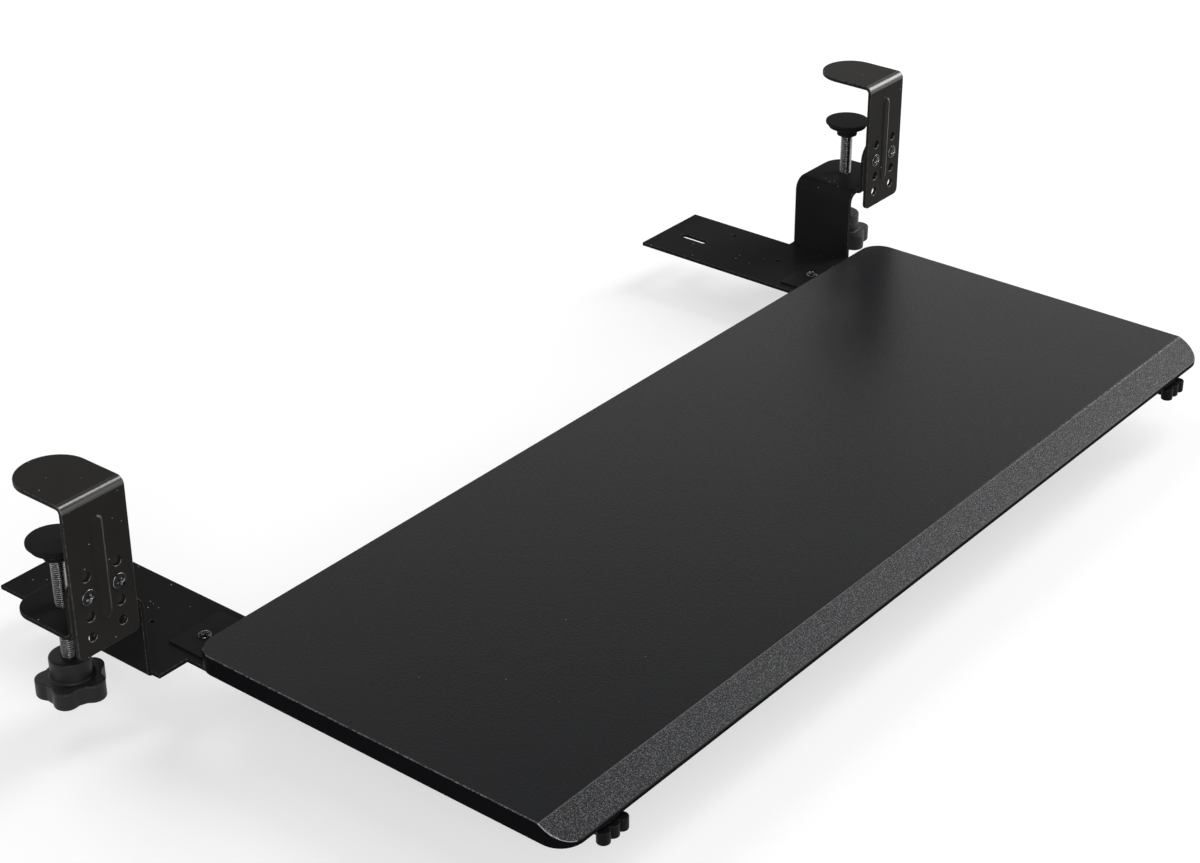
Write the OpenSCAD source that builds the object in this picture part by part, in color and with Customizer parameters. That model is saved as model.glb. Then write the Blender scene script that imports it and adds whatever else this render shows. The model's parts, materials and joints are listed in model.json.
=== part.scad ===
// Clamp-on sliding tray: a bevelled board on two ball slides, carried by two folded
// steel brackets, each with a screw clamp.
// +X runs along the clamped edge, +Y goes back from it, +Z is up.
// The origin is midway between the clamps, in the corner where the hooks' tongues
// and front plates meet. The slides are drawn pulled out to their front stops.

/* [Tray] */
// Length of the board from end to end
tray_width = 635; // [520:5:760]
// Depth of the board from front to back
tray_depth = 248.5; // [220:0.5:300]
// Thickness of the board
tray_thickness = 11.5; // [10:0.5:16]
// Radius of the board's corners seen from above
tray_corner_radius = 14; // [6:1:24]
// Run of the bevel along the front edge
bevel_run = 16.7; // [10:0.1:24]
// Height of the upright front edge under the bevel
front_edge_height = 2.8; // [2:0.1:5]
// Gap from the hooks' inner face to the board's rear edge, pulled out
tray_setback = 20.5; // [12:0.5:40]

/* [Hooks] */
// Thickness of the hooks' and brackets' steel sheet
sheet = 2.5; // [1.6:0.1:3]
// Width of a hook
hook_width = 40; // [36:1:50]
// Reach of the tongue from the front plate's inner face
tongue_reach = 46.5; // [35:0.5:70]
// Drop of the front plate below the tongue's underside
hook_drop = 87; // [84:1:120]
// Inside radius of the hook's bend
hook_bend_radius = 2; // [1:0.5:4]
// Corner radius at the front plate's lower end
hook_corner_radius = 4; // [2:0.5:8]
// Width of the embossed rib
rib_width = 8; // [6:0.5:9]
// Height that the rib stands out
rib_height = 0.8; // [0.4:0.1:1.2]
// Distance from the tongue's underside to the rib's upper end
rib_top = 10.5; // [8:0.5:20]
// Length of the rib
rib_length = 60; // [40:1:65]
// Spacing of the two columns of holes
hole_spacing = 20; // [19:0.5:24]
// Distance from the tongue's underside to the first row of holes
hole_row_first = 41.5; // [38:0.5:46]
// Spacing of the rows of holes
hole_row_pitch = 11.6; // [10.5:0.1:12.5]
// Number of rows of holes
hole_rows = 4; // [3:1:4]
// Row that holds the screws, counted from the top
hole_row_used = 2; // [1:1:2]

/* [Brackets] */
// Gap from the board's end to the upright's inner face
upright_gap = 6.5; // [4:0.5:15]
// Depth of the upright from front to back
upright_depth = 45; // [42:0.5:70]
// Drop from the tongue's underside to the shelf's upper face
shelf_drop = 73.3; // [70:0.1:80]
// Height from the bottom plate's upper face to the shelf's upper face
upright_height = 48.5; // [40:0.5:80]
// Width of the shelf from the upright's inner face
shelf_width = 51; // [51:1:60]
// Radius of the shelf's rear outer corner
shelf_corner_radius = 15; // [5:1:20]
// Inside radius of the bend between upright and shelf
shelf_bend_radius = 6; // [3:0.5:6.5]
// Inside radius of the bend between shelf and flange
bracket_bend_radius = 2; // [1:0.5:3]
// Inside radius of the bend between upright and bottom plate
plate_bend_radius = 0.5; // [0.3:0.1:2]
// Distance from the upright's inner face to the hook's middle
hook_offset = 29.5; // [29.5:0.5:31]
// Width of the flange behind the hook
flange_width = 42; // [38:1:42]
// Rise of the flange above its screws
flange_rise = 14.6; // [12:0.1:15]
// Radius of the flange's upper corners
flange_corner_radius = 13.5; // [4:0.5:16]
// Distance from the upright's inner face to the bottom plate's inner edge
plate_width = 67.6; // [66:0.1:90]
// Reach of the bottom plate behind the hooks' inner face
plate_reach = 132.5; // [122:0.5:200]
// Reach of the bottom plate in front of the hooks' inner face
plate_lead = 1; // [0.5:0.5:3]
// Step in the plate's outer edge behind the upright
plate_step = 5.5; // [3:0.5:10]
// Width of the plate's slot
slot_width = 5; // [4:0.5:9]
// Length of the plate's slot from end to end
slot_length = 22; // [14:1:28]
// Distance from the upright's inner face to the slot's middle
slot_inset = 40; // [30:0.5:55]
// Distance from the hooks' inner face to the slot's middle
slot_setback = 107.5; // [80:0.5:108]
// Diameter of the plate's two spare holes
plate_hole_d = 3.2; // [3:0.1:6]
// Distance from the upright's inner face to the outer spare hole
outer_hole_inset = 18; // [12:0.5:24]
// Distance from the hooks' inner face to the outer spare hole
outer_hole_setback = 88.5; // [60:0.5:110]
// Distance from the upright's inner face to the inner spare hole
inner_hole_inset = 33; // [28:0.5:55]
// Distance from the hooks' inner face to the inner spare hole
inner_hole_setback = 40; // [30:0.5:70]

/* [Slides] */
// Distance from the upright's inner face to the slide's centre line
rail_inset = 43; // [40:0.5:43.5]
// Width of the fixed rail over its curled sides
rail_width = 46; // [40:0.5:47]
// Height of the slide from the bottom plate to the board
slide_height = 10.2; // [9.8:0.1:12]
// Thickness of the rails' steel sheet
rail_sheet = 1.2; // [1:0.1:1.4]
// Gap from the fixed rail's curled sides to the board
rail_top_gap = 1.6; // [1.4:0.1:1.8]
// Distance that the tray slides back
travel = 130; // [100:5:135]
// Reach of the fixed rail behind the hooks' inner face
rail_reach = 17.5; // [14:0.5:30]
// Inset of the fixed rail's curled sides from the board's rear edge, pulled out
curl_inset = 2; // [1:0.5:6]
// Inset of the moving rail from the board's front edge
moving_front_inset = 2.5; // [2:0.5:4]
// Inset of the moving rail from the board's rear edge
moving_rear_inset = 5; // [3:0.5:15]
// Diameter of a ball
ball_d = 3.5; // [3:0.1:3.6]
// Number of balls in one cage strip
ball_count = 3; // [2:1:4]
// Thickness of a cage strip
cage_sheet = 0.7; // [0.5:0.1:0.8]
// Inset of the cage strips from the fixed rail's ends
cage_margin = 2; // [1:0.5:4]

/* [Stops] */
// Number of round ribs on a front stop
stop_rib_count = 3; // [2:1:3]
// Diameter of a round rib
stop_rib_d = 7.2; // [7:0.1:8]
// Spacing of the round ribs
stop_rib_pitch = 6.9; // [6:0.1:6.9]
// Inset of the round ribs' middles from the board's front edge
stop_rib_inset = 1.2; // [0:0.1:2.4]
// Height of the round ribs
stop_rib_height = 7.2; // [5:0.1:8]
// Width of a front stop's block
stop_width = 11; // [10.5:0.5:20]
// Depth of a front stop's block
stop_depth = 11; // [10:0.5:14]
// Height of a front stop under the board
stop_height = 9.9; // [9:0.1:10.5]
// Thickness of a front stop's block over its screw's head
stop_seat_thickness = 4.5; // [3:0.5:5]
// Width of a rear stop's block
rear_stop_width = 16; // [12:1:26]
// Depth of a rear stop's block
rear_stop_depth = 14; // [10:0.5:18]
// Inset of the rear stop from the moving rail's rear end
rear_stop_inset = 2.5; // [1:0.5:6]
// Width of the fixed rail's stop tab
stop_tab_width = 10; // [6:1:14]

/* [Clamp screws] */
// Thickness that is held between tongue and pad
grip = 35; // [26:1:44]
// Diameter of the clamp screw's thread
clamp_screw_d = 8; // [7.5:0.1:8.5]
// Distance from the upright's inner face to the clamp screw
clamp_screw_offset = 31.5; // [29:0.5:32]
// Distance from the hooks' inner face to the clamp screw
clamp_screw_setback = 29.5; // [25:0.5:32]
// Length of screw between the shelf and the knob
clamp_screw_shown = 28.5; // [20:0.5:34]
// Width of the clamp nut across its flats
clamp_nut_flats = 13; // [12.5:0.1:15]
// Height of the clamp nut
clamp_nut_height = 6.5; // [5:0.1:8]
// Diameter of the pad's rubber face
pad_d = 30; // [20:0.5:36]
// Overhang of the rubber face round the pressure plate
pad_overhang = 2; // [0.5:0.5:3]
// Thickness of the pad's rubber face
pad_face_thickness = 2; // [1:0.1:4]
// Thickness of the pressure plate
pressure_plate_thickness = 2.5; // [2:0.1:4]
// Diameter of the pressure plate's socket
socket_d = 14; // [10:0.5:18]
// Height of the pressure plate's socket
socket_height = 6; // [5:0.1:9]
// Diameter of the clamp screw's pivot in the socket
pivot_d = 6; // [4:0.1:6.5]

/* [Knobs] */
// Diameter of the knob over its lobes
knob_d = 38.5; // [34:0.5:42]
// Number of lobes
lobe_count = 5; // [4:1:7]
// Diameter of a lobe
lobe_d = 13; // [10:0.5:16]
// Turn of the lobes, from straight out to the side
knob_turn = 39; // [0:1:71]
// Height of the star
star_height = 10.5; // [7:0.5:14]
// Diameter of the hub
hub_d = 22; // [16:0.5:26]
// Height of the hub above the star
hub_height = 12.5; // [6:0.5:16]
// Length of the clamp screw inside the knob
screw_in_knob = 14; // [8:0.5:15]

/* [Fasteners] */
// Diameter of the hook screws
hook_screw_d = 5; // [4:0.1:5.4]
// Diameter of the hook screws' heads
hook_head_d = 8.6; // [8:0.1:10]
// Height of the hook screws' heads
hook_head_height = 1.6; // [1.4:0.1:3.5]
// Width of the hook nuts across their flats
hook_nut_flats = 8; // [7:0.1:9]
// Height of the hook nuts
hook_nut_height = 4; // [3:0.1:5]
// Diameter of the rail and tray screws
small_screw_d = 4; // [3:0.1:4.5]
// Diameter of the rail and tray screws' heads
small_head_d = 7.5; // [6:0.1:8.5]
// Height of the rail and tray screws' heads
small_head_height = 2.2; // [1.6:0.1:2.3]
// Length that the hook and rail screws show at their far end
screw_tail = 1; // [0.5:0.5:3]
// Depth that the tray screws go into the board
screw_embed = 5; // [3:0.5:5.5]
// Distance from a fixed rail's end to its screw
rail_screw_inset = 11; // [8:0.5:14]
// Distance of a fixed rail's screws from its centre line, towards the upright
rail_screw_shift = 3; // [0:0.5:4]

/* [Clearances] */
// Radial gap of the threads and pivots that turn
turning_clearance = 0.05; // [0.02:0.01:0.1]
// Radial gap between a ball and its tracks
ball_clearance = 0.08; // [0.04:0.01:0.1]
// Radial gap of a screw in its hole
hole_clearance = 0.25; // [0.05:0.05:0.3]
// Gap between sliding pieces and at closed stops
slide_clearance = 0.3; // [0.2:0.05:0.4]

/* [Hidden] */
$fn = 64;

// Finishes
board_black = [0.13, 0.13, 0.14];
coated_steel = [0.1, 0.1, 0.1];
screw_steel = [0.3, 0.3, 0.31];
bright_steel = [0.62, 0.62, 0.64];
rail_steel = [0.2, 0.2, 0.21];
moulded_black = [0.08, 0.08, 0.085];
rubber_black = [0.05, 0.05, 0.05];

// A cut runs this far past the faces that it opens
cut_margin = 1;

// Heights
shelf_top = -shelf_drop;
shelf_bottom = shelf_top - sheet;
plate_top = shelf_top - upright_height;
plate_bottom = plate_top - sheet;
tray_bottom = plate_top + slide_height;
tray_top = tray_bottom + tray_thickness;
rail_floor = plate_top + rail_sheet;
hook_screw_z = -(hole_row_first + (hole_row_used - 1) * hole_row_pitch);
flange_top = hook_screw_z + flange_rise;
socket_bottom = -grip - pad_face_thickness - pressure_plate_thickness - socket_height;
hub_top = shelf_bottom - clamp_screw_shown;
star_top = hub_top - hub_height;

// Places across, on the right side
upright_x = tray_width / 2 + upright_gap;
hook_x = upright_x + hook_offset;
clamp_x = upright_x + clamp_screw_offset;
rail_x = upright_x - rail_inset;
rail_screw_x = rail_x + rail_screw_shift;

// Places from front to back
tray_rear = -tray_setback;
tray_front = tray_rear - tray_depth;
bracket_front = sheet + bracket_bend_radius;
upright_rear = bracket_front + upright_depth;
moving_front = tray_front + moving_front_inset;
moving_rear = tray_rear - moving_rear_inset;
front_stop_rear = moving_front + stop_depth;
fixed_front = front_stop_rear + slide_clearance + travel;
rear_stop_rear = moving_rear - rear_stop_inset;
rear_stop_front = rear_stop_rear - rear_stop_depth;
stop_tab_rear = rear_stop_front - slide_clearance;
front_screw_y = (moving_front + front_stop_rear) / 2;
middle_screw_y = (moving_front + moving_rear) / 2;
rear_screw_y = (rear_stop_front + rear_stop_rear) / 2;
rail_screw_places = [fixed_front + rail_screw_inset, rail_reach - rail_screw_inset];

// Cages, which run half as far as the tray. The fixed rail's curled sides end under the
// board, or further back where the balls need the room.
ball_room = 2.5 * ball_d;
cage_front = fixed_front + cage_margin;
cage_run = travel / 2 + cage_margin;
curl_rear = max(tray_rear - curl_inset, cage_front + ball_count * ball_room + cage_run);
cage_length = curl_rear - cage_run - cage_front;
ball_pitch = cage_length / ball_count;

// Slide's cross-section, measured from the centre line and the bottom plate
curl_outer = (slide_height - rail_top_gap) / 2;
curl_inner = curl_outer - rail_sheet;
curl_across = rail_width / 2 - curl_outer;
ball_across = curl_across + curl_inner - ball_d / 2 - ball_clearance;
track_radius = ball_d / 2 + ball_clearance;
wall_across = curl_across - slide_clearance;
wall_low = rail_sheet + 2 * slide_clearance;
cage_edge = ball_across + cage_sheet / 2 - curl_across;
cage_half_height = sqrt(pow(curl_inner, 2) - pow(cage_edge, 2)) - slide_clearance;

// Heights of the stops over the bottom plate
head_gap = 2 * slide_clearance;
front_stop_low = slide_height - stop_height;
rear_stop_low = rail_sheet + small_head_height + head_gap;
stop_tab_high = slide_height - rail_sheet - small_head_height - slide_clearance;
front_screw_seat = slide_height - rail_sheet - stop_seat_thickness;
rear_screw_seat = rear_stop_low + small_head_height + slide_clearance;

// Holes for the rail and tray screws: threaded, and through
thread_hole_d = small_screw_d + 2 * turning_clearance;
through_hole_d = small_screw_d + 2 * hole_clearance;

// Share of a lobe's diameter that the knob's core reaches past the lobes' middles
core_share = 0.22;

// Screw heads' shape
rim_share = 0.3;
recess_span_share = 0.55;
recess_width_share = 0.14;
recess_depth_share = 0.6;

module right_side() {
    children();
}

module left_side() {
    mirror([1, 0, 0]) children();
}

// Flat shape with two round ends, upright on its middle
module obround(width, length) {
    straight = length - width;
    translate([-width / 2, -straight / 2]) square([width, straight]);
    for (end = [-1, 1]) translate([0, end * straight / 2]) circle(d = width);
}

// Rectangle from its lower left corner with each corner's radius: low left, low right, up right, up left
module rounded_plate(size, radii) {
    corners = [[0, 0], [size.x, 0], [size.x, size.y], [0, size.y]];
    inward = [[1, 1], [-1, 1], [-1, -1], [1, -1]];
    difference() {
        square(size);
        for (i = [0:3]) if (radii[i] > 0) translate(corners[i]) mirror([inward[i].x < 0 ? 1 : 0, 0]) {
            mirror([0, inward[i].y < 0 ? 1 : 0]) corner_cut(radii[i]);
        }
    }
}

// What a rounded corner loses, with the corner at the origin
module corner_cut(radius) {
    difference() {
        translate([-cut_margin, -cut_margin]) square(radius + cut_margin);
        translate([radius, radius]) circle(r = radius);
    }
}

// Quarter of a bent sheet's ring, in the quadrant given by two signs
module bend(inner, thickness, across, up) {
    outer = inner + thickness;
    intersection() {
        difference() {
            circle(r = outer);
            circle(r = inner);
        }
        translate([across < 0 ? -outer : 0, up < 0 ? -outer : 0]) square(outer);
    }
}

// Extrudes a front-to-back profile (across = back, up = up) along X
module along_x(length) {
    rotate([90, 0, 90]) linear_extrude(length) children();
}

// Extrudes a side-to-side profile (across = right, up = up) from one depth back to another
module along_y(front, rear) {
    translate([0, rear, 0]) rotate([90, 0, 0]) linear_extrude(rear - front) children();
}

// Cross-recess screw that points up, its head below the origin
module pan_screw(shank_d, length, head_d, head_height) {
    rim = head_height * rim_share;
    cap = head_height - rim;
    dome = (pow(head_d / 2, 2) + pow(cap, 2)) / (2 * cap);
    recess_depth = head_height * recess_depth_share;
    recess_span = head_d * recess_span_share;
    recess_width = head_d * recess_width_share;
    cylinder(d = shank_d, h = length);
    difference() {
        union() {
            translate([0, 0, -rim]) cylinder(d = head_d, h = rim);
            intersection() {
                translate([0, 0, -head_height]) cylinder(d = head_d, h = cap);
                translate([0, 0, dome - head_height]) sphere(r = dome);
            }
        }
        for (turn = [0, 90]) rotate(turn) translate([0, 0, -head_height]) {
            cube([recess_span, recess_width, 2 * recess_depth], center = true);
        }
    }
}

// Hexagon nut that stands up from the origin
module hex_nut(flats, height, bore_d) {
    difference() {
        cylinder(d = flats / cos(30), h = height, $fn = 6);
        translate([0, 0, -cut_margin]) cylinder(d = bore_d, h = height + 2 * cut_margin);
    }
}

// Places for the two screws of a hook
module at_hook_screws() {
    for (side = [-1, 1]) translate([hook_x + side * hole_spacing / 2, 0, hook_screw_z]) children();
}

// Board with a bevelled front edge and blind holes for the slides' screws
module board_blank() {
    translate([-tray_width / 2, tray_front, tray_bottom]) linear_extrude(tray_thickness) {
        rounded_plate([tray_width, tray_depth], [for (i = [0:3]) tray_corner_radius]);
    }
}

module bevel_cut() {
    slope = (tray_thickness - front_edge_height) / bevel_run;
    over = [tray_front - cut_margin, tray_top - (bevel_run + cut_margin) * slope];
    translate([-tray_width / 2 - cut_margin, 0, 0]) along_x(tray_width + 2 * cut_margin) {
        polygon([over, [tray_front + bevel_run, tray_top], [tray_front + bevel_run, tray_top + cut_margin],
                 [tray_front - cut_margin, tray_top + cut_margin]]);
    }
}

module tray_board() {
    color(board_black) difference() {
        board_blank();
        bevel_cut();
        for (side = [-1, 1], y = [front_screw_y, middle_screw_y, rear_screw_y]) {
            translate([side * rail_x, y, tray_bottom - cut_margin]) {
                cylinder(d = thread_hole_d, h = screw_embed + cut_margin + slide_clearance);
            }
        }
    }
}

// Folded bracket: bottom plate, upright, shelf, front flange and the tongue under the slide
module bracket_fold() {
    shelf_start = sheet + shelf_bend_radius;
    upright_start = plate_top + plate_bend_radius;
    upright_end = shelf_bottom - shelf_bend_radius;
    translate([upright_x, 0]) {
        translate([0, upright_start]) square([sheet, upright_end - upright_start]);
        translate([-plate_bend_radius, upright_start]) bend(plate_bend_radius, sheet, 1, -1);
        translate([shelf_start, upright_end]) bend(shelf_bend_radius, sheet, -1, 1);
        translate([shelf_start, shelf_bottom]) square([shelf_width - shelf_start, sheet]);
    }
}

module bracket_plate() {
    outer = upright_x - plate_bend_radius;
    inner = upright_x - plate_width;
    step_x = upright_x - plate_step;
    translate([0, 0, plate_bottom]) linear_extrude(sheet) difference() {
        union() {
            translate([inner, -plate_lead]) square([outer - inner, upright_rear + plate_lead]);
            translate([inner, -plate_lead]) square([step_x - inner, plate_reach + plate_lead]);
            translate([inner, fixed_front]) {
                square([rail_x + rail_width / 2 - inner, -plate_lead - fixed_front]);
            }
        }
        translate([upright_x - slot_inset, slot_setback]) obround(slot_width, slot_length);
        translate([upright_x - outer_hole_inset, outer_hole_setback]) circle(d = plate_hole_d);
        translate([upright_x - inner_hole_inset, inner_hole_setback]) circle(d = plate_hole_d);
        for (y = rail_screw_places) translate([rail_screw_x, y]) circle(d = thread_hole_d);
    }
}

module bracket_flange() {
    left = hook_x - flange_width / 2;
    bend_z = shelf_top + bracket_bend_radius;
    rounds = [0, 0, flange_corner_radius, flange_corner_radius];
    translate([left, bracket_front, bend_z]) along_x(flange_width) bend(bracket_bend_radius, sheet, -1, -1);
    difference() {
        along_y(0, sheet) translate([left, bend_z]) {
            rounded_plate([flange_width, flange_top - bend_z], rounds);
        }
        at_hook_screws() translate([0, sheet / 2, 0]) rotate([90, 0, 0]) {
            cylinder(d = hook_screw_d + 2 * hole_clearance, h = sheet + 2 * cut_margin, center = true);
        }
    }
}

module bracket_shape() {
    difference() {
        union() {
            along_y(bracket_front, upright_rear) bracket_fold();
            bracket_plate();
        }
        translate([upright_x + shelf_width, upright_rear, shelf_bottom - cut_margin]) {
            rotate(180) linear_extrude(sheet + 2 * cut_margin) corner_cut(shelf_corner_radius);
        }
        translate([clamp_x, clamp_screw_setback, shelf_bottom - cut_margin]) {
            cylinder(d = clamp_screw_d + 2 * hole_clearance, h = sheet + 2 * cut_margin);
        }
    }
    bracket_flange();
}

module left_bracket() {
    color(coated_steel) left_side() bracket_shape();
}

module right_bracket() {
    color(coated_steel) right_side() bracket_shape();
}

// Hook: round-ended tongue, bend and front plate with a rib and height holes
module tongue_outline() {
    straight = tongue_reach - hook_width / 2;
    translate([-hook_width / 2, hook_bend_radius]) square([hook_width, straight - hook_bend_radius]);
    intersection() {
        translate([0, straight]) circle(d = hook_width);
        translate([-hook_width / 2, hook_bend_radius]) square([hook_width, tongue_reach]);
    }
}

module hook_shape() {
    rounds = [hook_corner_radius, hook_corner_radius, 0, 0];
    rib_middle = -rib_top - rib_length / 2;
    translate([hook_x, 0, 0]) {
        linear_extrude(sheet) tongue_outline();
        translate([-hook_width / 2, hook_bend_radius, -hook_bend_radius]) {
            along_x(hook_width) bend(hook_bend_radius, sheet, -1, 1);
        }
        difference() {
            union() {
                along_y(-sheet, 0) translate([-hook_width / 2, -hook_drop]) {
                    rounded_plate([hook_width, hook_drop - hook_bend_radius], rounds);
                }
                along_y(-sheet - rib_height, -sheet) translate([0, rib_middle]) {
                    obround(rib_width, rib_length);
                }
            }
            along_y(-rib_height, cut_margin) translate([0, rib_middle]) {
                obround(rib_width - 2 * rib_height, rib_length - 2 * rib_height);
            }
            for (row = [0:hole_rows - 1], side = [-1, 1]) {
                z = -(hole_row_first + row * hole_row_pitch);
                translate([side * hole_spacing / 2, 0, z]) rotate([90, 0, 0]) {
                    translate([0, 0, -cut_margin]) {
                        cylinder(d = hook_screw_d + 2 * hole_clearance, h = sheet + 2 * cut_margin);
                    }
                }
            }
        }
    }
}

module left_clamp_hook() {
    color(coated_steel) left_side() hook_shape();
}

module right_clamp_hook() {
    color(coated_steel) right_side() hook_shape();
}

// Screws and nuts that join a hook to its flange
module hook_screws_shape() {
    length = 2 * sheet + hook_nut_height + screw_tail;
    at_hook_screws() translate([0, -sheet, 0]) rotate([-90, 0, 0]) {
        pan_screw(hook_screw_d, length, hook_head_d, hook_head_height);
    }
}

module hook_nuts_shape() {
    at_hook_screws() translate([0, sheet, 0]) rotate([-90, 0, 0]) {
        hex_nut(hook_nut_flats, hook_nut_height, hook_screw_d + 2 * turning_clearance);
    }
}

module left_hook_screws() {
    color(screw_steel) left_side() hook_screws_shape();
}

module right_hook_screws() {
    color(screw_steel) right_side() hook_screws_shape();
}

module left_hook_nuts() {
    color(screw_steel) left_side() hook_nuts_shape();
}

module right_hook_nuts() {
    color(screw_steel) right_side() hook_nuts_shape();
}

// Clamp: nut under the shelf, screw, star knob and swivelling pad
module clamp_nut_shape() {
    translate([clamp_x, clamp_screw_setback, shelf_bottom - clamp_nut_height]) {
        hex_nut(clamp_nut_flats, clamp_nut_height, clamp_screw_d + 2 * turning_clearance);
    }
}

module clamp_screw_shape() {
    low = hub_top - screw_in_knob;
    shoulder = socket_bottom - slide_clearance;
    pivot_top = socket_bottom + socket_height - slide_clearance;
    translate([clamp_x, clamp_screw_setback, 0]) {
        translate([0, 0, low]) cylinder(d = clamp_screw_d, h = shoulder - low);
        translate([0, 0, shoulder]) cylinder(d = pivot_d, h = pivot_top - shoulder);
    }
}

module star_outline() {
    lobe_reach = knob_d / 2 - lobe_d / 2;
    circle(r = lobe_reach + core_share * lobe_d);
    for (i = [0:lobe_count - 1]) rotate(knob_turn + i * 360 / lobe_count) {
        translate([lobe_reach, 0]) circle(d = lobe_d);
    }
}

module clamp_knob_shape() {
    translate([clamp_x, clamp_screw_setback, 0]) difference() {
        union() {
            translate([0, 0, star_top - star_height]) linear_extrude(star_height) star_outline();
            translate([0, 0, star_top]) cylinder(d = hub_d, h = hub_height);
        }
        translate([0, 0, hub_top - screw_in_knob]) {
            cylinder(d = clamp_screw_d + 2 * turning_clearance, h = screw_in_knob + cut_margin);
        }
    }
}

module pressure_plate_shape() {
    translate([clamp_x, clamp_screw_setback, socket_bottom]) difference() {
        union() {
            cylinder(d = socket_d, h = socket_height);
            translate([0, 0, socket_height]) {
                cylinder(d = pad_d - 2 * pad_overhang, h = pressure_plate_thickness);
            }
        }
        translate([0, 0, -cut_margin]) {
            cylinder(d = pivot_d + 2 * turning_clearance, h = socket_height + cut_margin);
        }
    }
}

module pad_face_shape() {
    translate([clamp_x, clamp_screw_setback, -grip - pad_face_thickness]) {
        cylinder(d = pad_d, h = pad_face_thickness);
    }
}

module left_clamp_nut() {
    color(screw_steel) left_side() clamp_nut_shape();
}

module right_clamp_nut() {
    color(screw_steel) right_side() clamp_nut_shape();
}

module left_clamp_screw() {
    color(bright_steel) left_side() clamp_screw_shape();
}

module right_clamp_screw() {
    color(bright_steel) right_side() clamp_screw_shape();
}

module left_clamp_knob() {
    color(moulded_black) left_side() clamp_knob_shape();
}

module right_clamp_knob() {
    color(moulded_black) right_side() clamp_knob_shape();
}

module left_pressure_plate() {
    color(coated_steel) left_side() pressure_plate_shape();
}

module right_pressure_plate() {
    color(coated_steel) right_side() pressure_plate_shape();
}

module left_pad_face() {
    color(rubber_black) left_side() pad_face_shape();
}

module right_pad_face() {
    color(rubber_black) right_side() pad_face_shape();
}

// Slide: curled fixed rail, moving rail, ball cages and balls
module fixed_floor() {
    translate([-curl_across, 0]) square([2 * curl_across, rail_sheet]);
}

module fixed_curls() {
    for (turn = [0, 1]) mirror([turn, 0]) translate([curl_across, curl_outer]) {
        bend(curl_inner, rail_sheet, 1, 1);
        bend(curl_inner, rail_sheet, 1, -1);
    }
}

module moving_web() {
    translate([-wall_across, slide_height - rail_sheet]) square([2 * wall_across, rail_sheet]);
}

module moving_walls() {
    web_low = slide_height - rail_sheet;
    for (turn = [0, 1]) mirror([turn, 0]) difference() {
        translate([wall_across - rail_sheet, wall_low]) square([rail_sheet, web_low - wall_low]);
        translate([ball_across, curl_outer]) circle(r = track_radius);
    }
}

module fixed_rail_shape() {
    translate([rail_x, 0, plate_top]) {
        difference() {
            union() {
                along_y(fixed_front, rail_reach) fixed_floor();
                along_y(fixed_front, curl_rear) fixed_curls();
            }
            for (y = rail_screw_places) translate([rail_screw_shift, y, -cut_margin]) {
                cylinder(d = through_hole_d, h = rail_sheet + 2 * cut_margin);
            }
        }
        translate([-stop_tab_width / 2, stop_tab_rear - rail_sheet, rail_sheet]) {
            cube([stop_tab_width, rail_sheet, stop_tab_high - rail_sheet]);
        }
    }
}

module rail_screws_shape() {
    length = rail_sheet + sheet + screw_tail;
    for (y = rail_screw_places) translate([rail_screw_x, y, rail_floor]) rotate([180, 0, 0]) {
        pan_screw(small_screw_d, length, small_head_d, small_head_height);
    }
}

module moving_rail_shape() {
    translate([rail_x, 0, plate_top]) difference() {
        union() {
            along_y(moving_front, moving_rear) moving_web();
            along_y(front_stop_rear, moving_rear) moving_walls();
        }
        for (y = [front_screw_y, middle_screw_y, rear_screw_y]) translate([0, y, slide_height / 2]) {
            cylinder(d = through_hole_d, h = slide_height);
        }
    }
}

module at_balls() {
    for (side = [-1, 1], i = [0:ball_count - 1]) {
        y = cage_front + (i + 0.5) * ball_pitch;
        translate([rail_x + side * ball_across, y, plate_top + curl_outer]) children();
    }
}

module ball_cages_shape() {
    bore_d = ball_d + 2 * turning_clearance;
    difference() {
        for (side = [-1, 1]) translate([rail_x + side * ball_across, cage_front, plate_top + curl_outer]) {
            translate([-cage_sheet / 2, 0, -cage_half_height]) {
                cube([cage_sheet, cage_length, 2 * cage_half_height]);
            }
        }
        at_balls() rotate([0, 90, 0]) cylinder(d = bore_d, h = cage_sheet + 2 * cut_margin, center = true);
    }
}

module balls_shape() {
    at_balls() sphere(d = ball_d);
}

module left_fixed_rail() {
    color(rail_steel) left_side() fixed_rail_shape();
}

module right_fixed_rail() {
    color(rail_steel) right_side() fixed_rail_shape();
}

module left_rail_screws() {
    color(screw_steel) left_side() rail_screws_shape();
}

module right_rail_screws() {
    color(screw_steel) right_side() rail_screws_shape();
}

module left_moving_rail() {
    color(rail_steel) left_side() moving_rail_shape();
}

module right_moving_rail() {
    color(rail_steel) right_side() moving_rail_shape();
}

module left_ball_cages() {
    color(bright_steel) left_side() ball_cages_shape();
}

module right_ball_cages() {
    color(bright_steel) right_side() ball_cages_shape();
}

module left_balls() {
    color(bright_steel) left_side() balls_shape();
}

module right_balls() {
    color(bright_steel) right_side() balls_shape();
}

// Stops at the two ends of a moving rail, and the screws up into the board
module screw_well(y, low, seat, high) {
    translate([rail_x, y, plate_top]) {
        translate([0, 0, low - cut_margin]) {
            cylinder(d = small_head_d + 2 * hole_clearance, h = seat - low + cut_margin);
        }
        translate([0, 0, low]) cylinder(d = through_hole_d, h = high - low + cut_margin);
    }
}

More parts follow.
